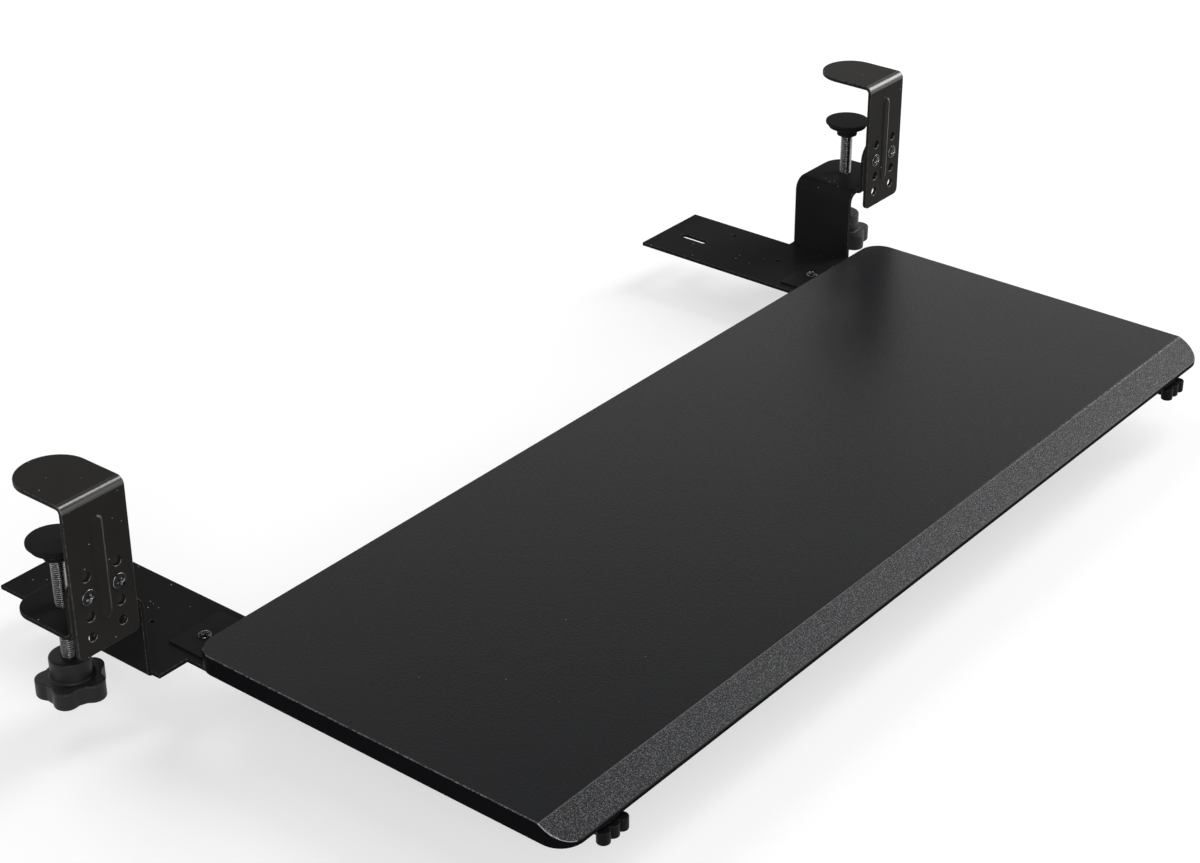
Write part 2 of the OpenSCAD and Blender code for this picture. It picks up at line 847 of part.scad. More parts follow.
module front_stop_shape() {
    high = slide_height - rail_sheet;
    rib_span = (stop_rib_count - 1) * stop_rib_pitch;
    difference() {
        union() {
            translate([rail_x - stop_width / 2, moving_front, plate_top + front_stop_low]) {
                cube([stop_width, stop_depth, high - front_stop_low]);
            }
            translate([rail_x, tray_front + stop_rib_inset, plate_top + front_stop_low]) {
                translate([-rib_span / 2, 0, 0]) cube([rib_span, stop_rib_d / 2, stop_rib_height]);
                for (i = [0:stop_rib_count - 1]) translate([i * stop_rib_pitch - rib_span / 2, 0, 0]) {
                    cylinder(d = stop_rib_d, h = stop_rib_height);
                }
            }
        }
        screw_well(front_screw_y, front_stop_low, front_screw_seat, high);
    }
}

module rear_stop_shape() {
    high = slide_height - rail_sheet;
    difference() {
        translate([rail_x - rear_stop_width / 2, rear_stop_front, plate_top + rear_stop_low]) {
            cube([rear_stop_width, rear_stop_depth, high - rear_stop_low]);
        }
        screw_well(rear_screw_y, rear_stop_low, rear_screw_seat, high);
    }
}

module tray_screws_shape() {
    seats = [front_screw_seat, slide_height - rail_sheet, rear_screw_seat];
    places = [front_screw_y, middle_screw_y, rear_screw_y];
    for (i = [0:2]) translate([rail_x, places[i], plate_top + seats[i]]) {
        pan_screw(small_screw_d, slide_height - seats[i] + screw_embed, small_head_d, small_head_height);
    }
}

module left_front_stop() {
    color(moulded_black) left_side() front_stop_shape();
}

module right_front_stop() {
    color(moulded_black) right_side() front_stop_shape();
}

module left_rear_stop() {
    color(moulded_black) left_side() rear_stop_shape();
}

module right_rear_stop() {
    color(moulded_black) right_side() rear_stop_shape();
}

module left_tray_screws() {
    color(screw_steel) left_side() tray_screws_shape();
}

module right_tray_screws() {
    color(screw_steel) right_side() tray_screws_shape();
}

tray_board();
left_bracket();
right_bracket();
left_clamp_hook();
right_clamp_hook();
left_hook_screws();
right_hook_screws();
left_hook_nuts();
right_hook_nuts();
left_clamp_nut();
right_clamp_nut();
left_clamp_screw();
right_clamp_screw();
left_clamp_knob();
right_clamp_knob();
left_pressure_plate();
right_pressure_plate();
left_pad_face();
right_pad_face();
left_fixed_rail();
right_fixed_rail();
left_rail_screws();
right_rail_screws();
left_moving_rail();
right_moving_rail();
left_ball_cages();
right_ball_cages();
left_balls();
right_balls();
left_front_stop();
right_front_stop();
left_rear_stop();
right_rear_stop();
left_tray_screws();
right_tray_screws();
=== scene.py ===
# Looks of a clamp-on sliding tray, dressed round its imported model, in metres.
import json
import math

import bmesh
import bpy
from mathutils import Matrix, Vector

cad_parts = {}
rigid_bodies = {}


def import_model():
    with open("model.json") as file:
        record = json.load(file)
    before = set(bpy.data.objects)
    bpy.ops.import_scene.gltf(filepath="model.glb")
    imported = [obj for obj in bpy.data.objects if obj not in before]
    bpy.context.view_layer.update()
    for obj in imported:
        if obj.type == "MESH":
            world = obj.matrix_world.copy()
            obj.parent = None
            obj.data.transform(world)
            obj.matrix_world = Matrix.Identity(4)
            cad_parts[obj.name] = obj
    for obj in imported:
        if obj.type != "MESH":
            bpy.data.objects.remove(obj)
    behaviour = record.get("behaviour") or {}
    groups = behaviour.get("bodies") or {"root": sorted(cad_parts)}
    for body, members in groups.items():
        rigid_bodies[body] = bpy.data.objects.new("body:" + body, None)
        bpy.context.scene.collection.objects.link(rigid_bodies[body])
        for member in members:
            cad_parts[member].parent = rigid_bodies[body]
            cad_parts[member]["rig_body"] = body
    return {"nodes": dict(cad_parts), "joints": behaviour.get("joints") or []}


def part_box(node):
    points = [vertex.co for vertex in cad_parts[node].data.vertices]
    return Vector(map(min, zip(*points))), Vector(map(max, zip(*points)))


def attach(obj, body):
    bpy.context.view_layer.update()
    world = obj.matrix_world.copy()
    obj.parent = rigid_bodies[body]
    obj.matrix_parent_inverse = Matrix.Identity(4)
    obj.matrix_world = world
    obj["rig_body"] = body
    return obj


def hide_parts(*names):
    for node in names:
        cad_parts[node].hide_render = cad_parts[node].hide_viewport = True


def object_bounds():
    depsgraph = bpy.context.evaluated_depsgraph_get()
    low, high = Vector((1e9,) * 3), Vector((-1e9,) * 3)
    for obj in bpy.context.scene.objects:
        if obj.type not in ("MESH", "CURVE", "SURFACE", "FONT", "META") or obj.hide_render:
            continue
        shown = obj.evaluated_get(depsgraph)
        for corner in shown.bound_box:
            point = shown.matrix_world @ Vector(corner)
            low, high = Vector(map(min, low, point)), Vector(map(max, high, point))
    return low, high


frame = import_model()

cad_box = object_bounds()
MM = 0.001
SIDES = ("left", "right")

# Camera, where the photograph was taken from
CAMERA_PLACE = (-1.01243, -0.85096, 0.61346)
CAMERA_DEGREES = (61.044, 0.237, -51.257)
CAMERA_LENS = 74.665

# Joining and smoothing of the copied meshes
WELD = 0.002 * MM
FLAT_ANGLE = math.radians(0.4)
SHARP_ANGLE = math.radians(31)
CREASE_ANGLE = math.radians(20)

# Rounded edges: round profile, and radius and steps on the large pieces
ROUND_PROFILE = 0.5
BOARD_ROUND = (0.7 * MM, 3)
HOOK_ROUND = (0.4 * MM, 3)
BRACKET_ROUND = (0.35 * MM, 2)

# Board's zones, by the parts of a face's normal
UPRIGHT_LIMIT = 0.35
BEVEL_LIMIT = -0.25
END_LIMIT = 0.2
CREASE_LIMIT = 0.9

# Wear of the board's edges, and the painted highlight on the crease with the steps in which it grows
# towards the right end
TOP_WEAR = 0.35
BEVEL_WEAR = 1.0
CREASE_PAINTED_HIGHLIGHT = 0.5
CREASE_STEPS = 8

# Flange's front, by the Y part of a face's normal, where a paler coat paints the light seen through the
# hook's holes
FRONT_LIMIT = -0.9

# Hook's rib: decimals that tell its depth from the plate's, inset that makes each new ring, and the
# ring's share of the half width and of the height, from foot to crest
PLACE_DIGITS = 6
RIB_INSET = 0.01 * MM
RIB_STEPS = ((0.9, 0.3), (0.8, 0.62), (0.7, 0.86), (0.56, 0.97))

# Hook's coats from plain to polished: specular level and least roughness
HOOK_GLOSS = ((0.015, 0.29), (0.34, 0.27), (0.67, 0.26), (1.0, 0.24))

# Hook's bend: its middle, behind and under the inner corner, and the least distance from it
BEND_MIDDLE = 2 * MM
BEND_RADIUS = 3.8 * MM

# Hook's holes, by their distance from the rib's middle, and their lower rims, by the Z part of a normal,
# which get a painted glint in the wear colour
HOLE_NEAR = 6 * MM
HOLE_FAR = 14 * MM
RIM_LOWER = 0.15
RIM_PAINTED_GLINT = 0.35

# Rib's right flank, by the X part of a face's normal
RIB_SLOPE = 0.1

# Clamp screw's thread, M8 coarse: depth of the cut at each step of a turn's pitch, as a share
THREAD_PITCH = 1.25 * MM
THREAD_DEPTH = 0.68 * MM
THREAD_SIDES = 48
THREAD_PROFILE = (0.0, 0.0, 0.5, 1.0, 1.0, 0.5)

# Pivot at the clamp screw's tip: radius, and chamfer, which is also the shoulder's gap under the socket
PIVOT_RADIUS = 3 * MM
PIVOT_GAP = 0.3 * MM

# Knob's shape
KNOB_LOBES = 5
KNOB_TURN = math.radians(39)
KNOB_STEPS = 180
KNOB_REACH = 19.25 * MM
LOBE_RADIUS = 6.5 * MM
CORE_RADIUS = 15.2 * MM
VALLEY_BLEND = 0.9 * MM
STAR_HEIGHT = 10.5 * MM
STAR_FILLET = 1.0 * MM
STAR_FOOT = 1.2 * MM
NECK_FILLET = 1.6 * MM
HUB_RADIUS = 11 * MM
HUB_FILLET = 1.3 * MM
HOLE_RADIUS = 4.15 * MM
HOLE_CHAMFER = 0.5 * MM
FILLET_STEPS = 6

# Knob's flat top: shares of the way from the star's outline to the neck
NECK_SHARES = (0.35, 0.7, 1.0)

# Sockets of the colour mix, whose names also stand for other kinds of values
MIX_FACTOR = 0
MIX_COLOURS = (6, 7)
MIX_RESULT = 2

# Part of a noise's range over which the roughness changes, and over which the board's grains turn light;
# on the bevel the light grains are pale enough to be a painted sheen
NOISE_LOW = 0.3
NOISE_HIGH = 0.7
GRAIN_LOW = 0.5
GRAIN_HIGH = 0.6

# Spread of the roughness over a coat and over plated steel
COAT_SPREAD = 0.06
STEEL_SPREAD = 0.14

# Part of a noise's range over which wear appears, and the colours that it bares, which on the board's
# crease, the hook's lower hole rims and the thread's crests are painted highlights
WEAR_LOW = 0.36
WEAR_HIGH = 0.6
BOARD_WEAR_AND_HIGHLIGHT = (0.42, 0.42, 0.43)
COAT_WEAR_AND_GLINT = (0.12, 0.12, 0.12)
BARE_RAIL = (0.03, 0.03, 0.03)
STEEL_WEAR_AND_HIGHLIGHT = (0.8, 0.8, 0.81)
BARE_PLASTIC = (0.06, 0.06, 0.06)

# Dust: share of a fleck's reach that is solid, softness of the choice of flecks, and colours
FLECK_CORE = 0.6
FLECK_STEP = 0.01
BOARD_DUST = (0.2, 0.2, 0.2)
COAT_DUST = (0.35, 0.35, 0.34)

# Floor: its gap under the knobs, and its glow, which grows to white between two distances
FLOOR_GAP = 1.5 * MM
FLOOR_SIZE = 24.0
FLOOR_COLOUR = (0.45, 0.45, 0.45, 1)
FLOOR_ROUGHNESS = 0.9
FLOOR_GLOW = 0.58
GLOW_NEAR = 0.7
GLOW_FAR = 2.2

# Backdrop and ceiling, by the sine of their height over the horizon, and the ceiling's strength
BACKDROP_HIGH = math.sin(math.radians(26))
CEILING_LOW = math.sin(math.radians(33))
CEILING_LIGHT = 0.06

# Lamps: name, place, size and power in watts
SOFTBOXES = (
    ("key", (1.95, -0.75, 1.8), (1.0, 3.0), 62),
    ("overhead", (-0.2, 1.1, 1.8), (1.4, 0.7), 10),
    ("fill", (-1.6, -1.6, 1.0), (1.2, 1.2), 20),
)


# Material nodes

def add(tree, kind, settings=None, **values):
    """A node with its settings, and its inputs set or linked by name."""
    node = tree.nodes.new(kind)
    for name, value in (settings or {}).items():
        setattr(node, name, value)
    for name, value in values.items():
        socket = node.inputs[name.replace("_", " ")]
        if isinstance(value, bpy.types.NodeSocket):
            tree.links.new(value, socket)
        else:
            socket.default_value = value
    return node


def noise(tree, size, detail=2.0, stretch=(1, 1, 1)):
    """Noise with grains of about that size in metres, fixed to the piece."""
    place = add(tree, "ShaderNodeTexCoord").outputs["Object"]
    scaled = add(tree, "ShaderNodeMapping", Vector=place, Scale=[s / size for s in stretch])
    return add(tree, "ShaderNodeTexNoise", Vector=scaled.outputs["Vector"], Scale=1.0,
               Detail=detail).outputs["Fac"]


def remap(tree, value, low, high, out_low, out_high):
    """A value's range from low to high, spread over another range."""
    node = add(tree, "ShaderNodeMapRange", Value=value, From_Min=low, From_Max=high,
               To_Min=out_low, To_Max=out_high)
    return node.outputs["Result"]


def combine(tree, operation, a, b):
    """Two linked values joined by an operation, such as MULTIPLY."""
    node = add(tree, "ShaderNodeMath", {"operation": operation})
    tree.links.new(a, node.inputs[0])
    tree.links.new(b, node.inputs[1])
    return node.outputs["Value"]


def blend(tree, factor, a, b):
    """Colour a where the factor is 0 and b where it is 1."""
    node = add(tree, "ShaderNodeMix", {"data_type": "RGBA"})
    tree.links.new(factor, node.inputs[MIX_FACTOR])
    for index, colour in zip(MIX_COLOURS, (a, b)):
        socket = node.inputs[index]
        if isinstance(colour, bpy.types.NodeSocket):
            tree.links.new(colour, socket)
        else:
            socket.default_value = (*colour, 1)
    return node.outputs[MIX_RESULT]


def vary(tree, value, low, high):
    """A roughness that runs from low to high with a noise's value."""
    return remap(tree, value, NOISE_LOW, NOISE_HIGH, low, high)


def specks(tree, spacing, size, share):
    """Small round flecks of dust: 1 on a fleck, on that share of the cells of a loose grid."""
    place = add(tree, "ShaderNodeTexCoord").outputs["Object"]
    cells = add(tree, "ShaderNodeTexVoronoi", Vector=place, Scale=1 / spacing)
    reach = size / spacing
    dot = remap(tree, cells.outputs["Distance"], reach, FLECK_CORE * reach, 0, 1)
    pick = add(tree, "ShaderNodeSeparateColor", Color=cells.outputs["Color"]).outputs["Red"]
    return combine(tree, "MULTIPLY", dot, remap(tree, pick, share, share - FLECK_STEP, 0, 1))


def wear_and_painted_highlights(tree, grain_size, amount, low=WEAR_LOW):
    """Wear along the rounded edges, from the mark that soften() leaves on their faces, broken where
    the noise lies under the low limit. The same mark paints highlights on the board's crease, the hook's
    lower hole rims and the thread's crests."""
    edge = add(tree, "ShaderNodeAttribute", {"attribute_name": "edge"}).outputs["Fac"]
    broken = remap(tree, noise(tree, grain_size, detail=4), low, WEAR_HIGH, 0, amount)
    return combine(tree, "MULTIPLY", edge, broken)


def surface(name, **values):
    """A new material and its shader, with constant values on the shader's own sockets."""
    made = bpy.data.materials.new(name)
    made.use_nodes = True
    tree = made.node_tree
    shader = tree.nodes["Principled BSDF"]
    for label, value in values.items():
        shader.inputs[label.replace("_", " ")].default_value = value
    return made, tree, shader


def finish(tree, shader, colour, roughness, height, depth):
    """Links a colour, a roughness and a relief of that depth in metres to the shader."""
    tree.links.new(colour, shader.inputs["Base Color"])
    tree.links.new(roughness, shader.inputs["Roughness"])
    bump = add(tree, "ShaderNodeBump", Height=height, Distance=depth, Strength=1.0)
    tree.links.new(bump.outputs["Normal"], shader.inputs["Normal"])


# Materials

def laminate(name, specular, grain_size, grain_depth, light, wear=0.0, wear_low=WEAR_LOW):
    """Black board skin: relief with grains of that size and depth, light grains and worn edges."""
    made, tree, shader = surface(name, Specular_IOR_Level=specular)
    grain = noise(tree, grain_size)
    mottle = noise(tree, 45 * MM, detail=3)
    ground = blend(tree, mottle, (0.0035, 0.0038, 0.0048), (0.0055, 0.0058, 0.0068))
    grained = blend(tree, remap(tree, grain, GRAIN_LOW, GRAIN_HIGH, 0, 1), ground, light)
    worn = blend(tree, wear_and_painted_highlights(tree, 0.9 * MM, wear, wear_low), grained, BOARD_WEAR_AND_HIGHLIGHT)
    dust = specks(tree, spacing=12 * MM, size=0.35 * MM, share=0.3)
    colour = blend(tree, dust, worn, BOARD_DUST)
    finish(tree, shader, colour, vary(tree, grain, low=0.36, high=0.28), grain, grain_depth)
    return made


def powder_coat(name, specular, roughness, dark, light, wear):
    """Black powder coat with a fine peel, dust and worn edges."""
    made, tree, shader = surface(name, Specular_IOR_Level=specular)
    peel = noise(tree, 0.8 * MM)
    mottle = noise(tree, 30 * MM, detail=3)
    ground = blend(tree, mottle, dark, light)
    worn = blend(tree, wear_and_painted_highlights(tree, 1.5 * MM, wear), ground, COAT_WEAR_AND_GLINT)
    dust = specks(tree, spacing=5 * MM, size=0.4 * MM, share=0.5)
    colour = blend(tree, dust, worn, COAT_DUST)
    rough = vary(tree, mottle, roughness, roughness + COAT_SPREAD)
    finish(tree, shader, colour, rough, peel, depth=0.02 * MM)
    return made


def rail_coat():
    """Black coat with fine marks drawn along the rails."""
    made, tree, shader = surface("black_rail_coat", Specular_IOR_Level=0.02)
    drawn = noise(tree, 0.5 * MM, stretch=(1, 0.03, 1))
    mottle = noise(tree, 18 * MM, detail=3)
    ground = blend(tree, mottle, (0.0095, 0.0095, 0.0095), (0.014, 0.014, 0.0138))
    colour = blend(tree, wear_and_painted_highlights(tree, 1.2 * MM, amount=0.3), ground, BARE_RAIL)
    finish(tree, shader, colour, vary(tree, drawn, low=0.34, high=0.46), drawn, depth=0.02 * MM)
    return made


def plated_steel(name, dark, light, roughness, wear):
    """Plated steel with fine scratches, between two tones, and bright worn edges."""
    made, tree, shader = surface(name, Metallic=1.0)
    scratch = noise(tree, 0.35 * MM, detail=3, stretch=(1, 1, 0.25))
    mottle = noise(tree, 4 * MM, detail=3)
    ground = blend(tree, mottle, dark, light)
    colour = blend(tree, wear_and_painted_highlights(tree, 1.6 * MM, wear), ground, STEEL_WEAR_AND_HIGHLIGHT)
    rough = vary(tree, scratch, roughness, roughness + STEEL_SPREAD)
    finish(tree, shader, colour, rough, scratch, depth=0.01 * MM)
    return made


def moulded_plastic(name, specular, dark, light):
    """Black plastic with a fine moulded texture, between two tones, and worn edges."""
    made, tree, shader = surface(name, Specular_IOR_Level=specular)
    spark = noise(tree, 0.35 * MM, detail=3)
    flow = noise(tree, 14 * MM)
    ground = blend(tree, flow, dark, light)
    colour = blend(tree, wear_and_painted_highlights(tree, 1.2 * MM, amount=0.3), ground, BARE_PLASTIC)
    finish(tree, shader, colour, vary(tree, spark, low=0.38, high=0.5), spark, depth=0.02 * MM)
    return made


def pad_rubber():
    """Dull black rubber with a coarse grain."""
    made, tree, shader = surface("black_rubber", Specular_IOR_Level=0.1)
    grain = noise(tree, 0.5 * MM, detail=4)
    mottle = noise(tree, 6 * MM, detail=3)
    colour = blend(tree, mottle, (0.007, 0.007, 0.007), (0.013, 0.013, 0.0125))
    finish(tree, shader, colour, vary(tree, grain, low=0.7, high=0.9), grain, depth=0.06 * MM)
    return made


BOARD_TOP = laminate(
    "black_laminate", specular=0.26, grain_size=1.7 * MM, grain_depth=0.06 * MM,
    light=(0.0085, 0.009, 0.0105), wear=0.9, wear_low=0.42)
# The bevel's light grains are far paler than the top's: real grain that carries a painted sheen
BEVEL_PAINTED_SHEEN = laminate(
    "grained_bevel_painted_sheen", specular=0.12, grain_size=0.8 * MM, grain_depth=0.3 * MM,
    light=(0.064, 0.066, 0.0705), wear=0.8, wear_low=0.1)
BOARD_EDGE = laminate(
    "black_edge_band", specular=0.004, grain_size=0.85 * MM, grain_depth=0.03 * MM,
    light=(0.006, 0.006, 0.0065))
HOOK_COATS = [
    powder_coat(f"hook_powder_coat_{step}", specular, roughness,
                dark=(0.018, 0.0172, 0.016), light=(0.023, 0.022, 0.0205), wear=0.5)
    for step, (specular, roughness) in enumerate(HOOK_GLOSS)]
# Paler copy of the bracket's coat: painted light on the flange's front, behind the hook's holes
FLANGE_PAINTED_LIGHT = powder_coat(
    "flange_coat_painted_light", specular=0.01, roughness=0.29,
    dark=(0.035, 0.034, 0.032), light=(0.045, 0.044, 0.042), wear=0.2)
BRACKET_COAT = powder_coat(
    "bracket_powder_coat", specular=0.005, roughness=0.29,
    dark=(0.011, 0.011, 0.0108), light=(0.016, 0.0158, 0.0155), wear=0.4)
RAIL = rail_coat()
SCREW = plated_steel(
    "black_zinc", dark=(0.012, 0.012, 0.0125), light=(0.026, 0.026, 0.027), roughness=0.26, wear=0.8)
ZINC = plated_steel(
    "bright_zinc", dark=(0.07, 0.07, 0.072), light=(0.12, 0.12, 0.122), roughness=0.24, wear=0.75)
PLASTIC = moulded_plastic(
    "black_moulding", specular=0.2, dark=(0.009, 0.009, 0.0095), light=(0.013, 0.013, 0.0135))
# Darker, duller copy of the black moulding: painted shade on the stops under the board
STOP_PAINTED_SHADE = moulded_plastic(
    "black_stop_painted_shade", specular=0.06, dark=(0.004, 0.004, 0.0045), light=(0.006, 0.006, 0.0065))
RUBBER = pad_rubber()


# Piece making

def place_piece(shape, name, materials, slot, *nodes):
    """Turns a shape into a piece that stands for its nodes and rides on their body."""
    mesh = bpy.data.meshes.new(name)
    bmesh.ops.recalc_face_normals(shape, faces=shape.faces)
    shape.to_mesh(mesh)
    shape.free()
    mesh.shade_smooth()
    for material in materials:
        mesh.materials.append(material)
    piece = bpy.data.objects.new(name, mesh)
    bpy.context.scene.collection.objects.link(piece)
    normals = piece.modifiers.new("Even normals", "WEIGHTED_NORMAL")
    normals.keep_sharp = True
    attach(piece, frame["nodes"][nodes[0]]["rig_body"])
    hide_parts(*nodes)


def copy_node(node):
    """A node's mesh as an editable shape, its doubled points joined and its flat faces whole."""
    shape = bmesh.new()
    shape.from_mesh(frame["nodes"][node].data)
    bmesh.ops.remove_doubles(shape, verts=shape.verts, dist=WELD)
    bmesh.ops.dissolve_limit(shape, angle_limit=FLAT_ANGLE, verts=shape.verts, edges=shape.edges)
    return shape


def soften(shape, radius, steps, sharp=SHARP_ANGLE, kept=()):
    """Rounds the sharp edges, apart from those kept, and marks the new faces as edges for the wear."""
    mark = shape.faces.layers.float.new("edge")
    edges = [e for e in shape.edges if e.is_manifold and e.calc_face_angle() > sharp and e not in kept]
    made = bmesh.ops.bevel(shape, geom=edges, offset=radius, offset_type="OFFSET", segments=steps,
                           profile=ROUND_PROFILE, affect="EDGES", clamp_overlap=False)
    for face in made["faces"]:
        face[mark] = 1.0


def dress(node, material, slot, radius, steps):
    """A node's own shape with rounded edges, in one material."""
    shape = copy_node(node)
    soften(shape, radius, steps)
    place_piece(shape, node + "_dressed", [material], slot, node)


def ring_skin(shape, rings):
    """Joins rings of points, each with as many points, into a skin closed at both ends."""
    made = [[shape.verts.new(p) for p in ring] for ring in rings]
    for lower, upper in zip(made, made[1:]):
        for i in range(len(lower)):
            j = (i + 1) % len(lower)
            shape.faces.new((lower[i], lower[j], upper[j], upper[i]))
    shape.faces.new(made[0][::-1])
    shape.faces.new(made[-1])


def circle(radius, height, steps):
    """Ring of points about the Z axis."""
    angles = [2 * math.pi * i / steps for i in range(steps)]
    return [(radius * math.cos(a), radius * math.sin(a), height) for a in angles]


# Board

def board():
    """Board with a smooth top, a grained bevel with a painted sheen and plain edges, worn along the left
    end, with a painted highlight along the crease that grows towards the right end.
    """
    node = "tray_board"
    skins = [BOARD_TOP, BEVEL_PAINTED_SHEEN, BOARD_EDGE]
    shape = copy_node(node)
    soften(shape, *BOARD_ROUND, CREASE_ANGLE)
    right = max(v.co.x for v in shape.verts)
    for step in range(CREASE_STEPS):
        everything = list(shape.verts) + list(shape.edges) + list(shape.faces)
        cut = (right * step / CREASE_STEPS, 0, 0)
        bmesh.ops.bisect_plane(shape, geom=everything, plane_co=cut, plane_no=(1, 0, 0))
    mark = shape.faces.layers.float["edge"]
    for face in shape.faces:
        face.normal_update()
        normal = face.normal
        on_edge = face[mark] > 0
        face[mark] = 0.0
        if normal.z < UPRIGHT_LIMIT or on_edge and max(normal.x, normal.y) > END_LIMIT:
            face.material_index = skins.index(BOARD_EDGE)
        elif normal.y < BEVEL_LIMIT and not on_edge:
            face.material_index = skins.index(BEVEL_PAINTED_SHEEN)
        elif on_edge and normal.x < -END_LIMIT:
            along_bevel = normal.y < -END_LIMIT
            face.material_index = skins.index(BEVEL_PAINTED_SHEEN if along_bevel else BOARD_TOP)
            face[mark] = BEVEL_WEAR if along_bevel else TOP_WEAR
        elif on_edge and abs(normal.x) < END_LIMIT and normal.z > CREASE_LIMIT:
            # Painted highlight along the crease, in the wear colour, lighter towards the right end
            face[mark] = CREASE_PAINTED_HIGHLIGHT * max(face.calc_center_median().x / right, 0)
    place_piece(shape, node + "_dressed", skins, "tray_laminate", node)


# Hooks

def swell_rib(shape):
    """Turns the hook's flat rib into a rounded bead, and returns the bead's edges."""
    front = min(shape.faces, key=lambda f: f.calc_center_median().y)
    plate_y = sorted({round(v.co.y, PLACE_DIGITS) for v in shape.verts})[1]
    xs = [v.co.x for v in front.verts]
    zs = [v.co.z for v in front.verts]
    middle_x = (min(xs) + max(xs)) / 2
    half = (max(xs) - min(xs)) / 2
    height = plate_y - front.calc_center_median().y
    spine = (min(zs) + half, max(zs) - half)
    for share, rise in RIB_STEPS:
        if share != RIB_STEPS[0][0]:
            bmesh.ops.inset_individual(shape, faces=[front], thickness=RIB_INSET)
        for vert in front.verts:
            foot = Vector((middle_x, 0, min(max(vert.co.z, spine[0]), spine[1])))
            away = Vector((vert.co.x - foot.x, 0, vert.co.z - foot.z)).normalized()
            vert.co = foot + away * half * share
            vert.co.y = plate_y - height * rise
    reach = half + WELD
    return [e for e in shape.edges
            if all(v.co.y < plate_y + WELD and abs(v.co.x - middle_x) < reach for v in e.verts)]


def polish_hook(shape, middle_x):
    """Picks the coat of each face: smooth on the bend, most so half way round it, on the holes' lower
    rims and on the rib's right flank. The lower rims also get a painted glint in the wear colour, the
    upper rims none."""
    best = len(HOOK_GLOSS) - 1
    mark = shape.faces.layers.float["edge"]
    for face in shape.faces:
        face.normal_update()
        place = face.calc_center_median()
        out = Vector((BEND_MIDDLE - place.y, place.z + BEND_MIDDLE))
        aside = abs(place.x - middle_x)
        if min(out) > 0 and out.length > BEND_RADIUS:
            face.material_index = round(best * math.sqrt(2 * out.x * out.y) / out.length)
        elif place.y > 0 or place.z > -BEND_RADIUS or aside > HOLE_FAR:
            continue
        elif aside < HOLE_NEAR:
            if face.normal.x > RIB_SLOPE:
                face.material_index = best
        elif face[mark]:
            # The lower rims get a painted glint in the wear colour, the upper rims lose their mark
            lower = face.normal.z > RIM_LOWER
            face[mark] = RIM_PAINTED_GLINT if lower else 0.0
            face.material_index = best if lower else 0


def hook(side):
    """Hook with a rounded rib and smooth places on its bend, holes and rib."""
    node = side + "_clamp_hook"
    low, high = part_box(node)
    shape = copy_node(node)
    rib = swell_rib(shape)
    soften(shape, *HOOK_ROUND, kept=rib)
    polish_hook(shape, (low.x + high.x) / 2)
    place_piece(shape, node + "_dressed", HOOK_COATS, "coated_steel", node)


# Brackets

def bracket(side):
    """Bracket whose flange has a paler coat on its front behind the hook: painted light, seen through the
    hook's holes.
    """
    node = side + "_bracket"
    coats = [BRACKET_COAT, FLANGE_PAINTED_LIGHT]
    low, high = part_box(side + "_clamp_hook")
    shape = copy_node(node)
    soften(shape, *BRACKET_ROUND)
    for face in shape.faces:
        face.normal_update()
        behind_hook = low.x < face.calc_center_median().x < high.x
        paler = behind_hook and face.normal.y < FRONT_LIMIT
        face.material_index = coats.index(FLANGE_PAINTED_LIGHT if paler else BRACKET_COAT)
    place_piece(shape, node + "_dressed", coats, "coated_steel", node)


# Clamp screws and knobs

def rod_place(radius, depth, angle, height, ends):
    """A point of the rod's skin, cut back to a chamfer at both ends."""
    z = min(max(height, ends[0]), ends[1])
    room = min(z - ends[0], ends[1] - z)
    reach = min(radius - depth, radius - THREAD_DEPTH + room)
    return (reach * math.cos(angle), reach * math.sin(angle), z)


def thread_skin(shape, radius, ends):
    """Right-hand thread about the Z axis: rows of points that follow the helix, with the crests marked for
    the wear colour, which is wear and a painted highlight that leaves the darker roots as painted shade.
    """
    mark = shape.faces.layers.float.new("edge")
    period = len(THREAD_PROFILE)
    # The rows run a turn past both ends, where rod_place() cuts them back
    turns = math.ceil((ends[1] - ends[0]) / THREAD_PITCH) + 2
    rows = []
    for row in range(turns * period + 1):
        depth = THREAD_DEPTH * THREAD_PROFILE[row % period]
        line = []
        for step in range(THREAD_SIDES):
            height = ends[0] + (row / period + step / THREAD_SIDES - 1) * THREAD_PITCH
            angle = 2 * math.pi * step / THREAD_SIDES
            line.append(shape.verts.new(rod_place(radius, depth, angle, height, ends)))
        rows.append(line)
    for row in range(len(rows) - period - 1):
        on_crest = THREAD_PROFILE[row % period] == THREAD_PROFILE[(row + 1) % period] == 0
        for step in range(THREAD_SIDES):
            wrap = step == THREAD_SIDES - 1
            ahead = row + period if wrap else row
            beside = 0 if wrap else step + 1
            near, far = rows[row][step], rows[row + 1][step]
            face = shape.faces.new((near, rows[ahead][beside], rows[ahead + 1][beside], far))
            # Crests take the wear colour: wear and a painted highlight, with the roots left dark as
            # painted shade
            face[mark] = 1.0 if on_crest else 0.0
    bmesh.ops.remove_doubles(shape, verts=shape.verts, dist=WELD)
    loose = [v for v in shape.verts if not v.link_faces]
    bmesh.ops.delete(shape, geom=loose, context="VERTS")
    bmesh.ops.holes_fill(shape, edges=[e for e in shape.edges if e.is_boundary])


def clamp_axis(side):
    """Foot of the clamp screw's axis on the plane Z = 0."""
    place = next(j["pos_m"] for j in frame["joints"] if j["name"] == side + "_screw_turn")
    return Vector((place[0], place[1], 0))


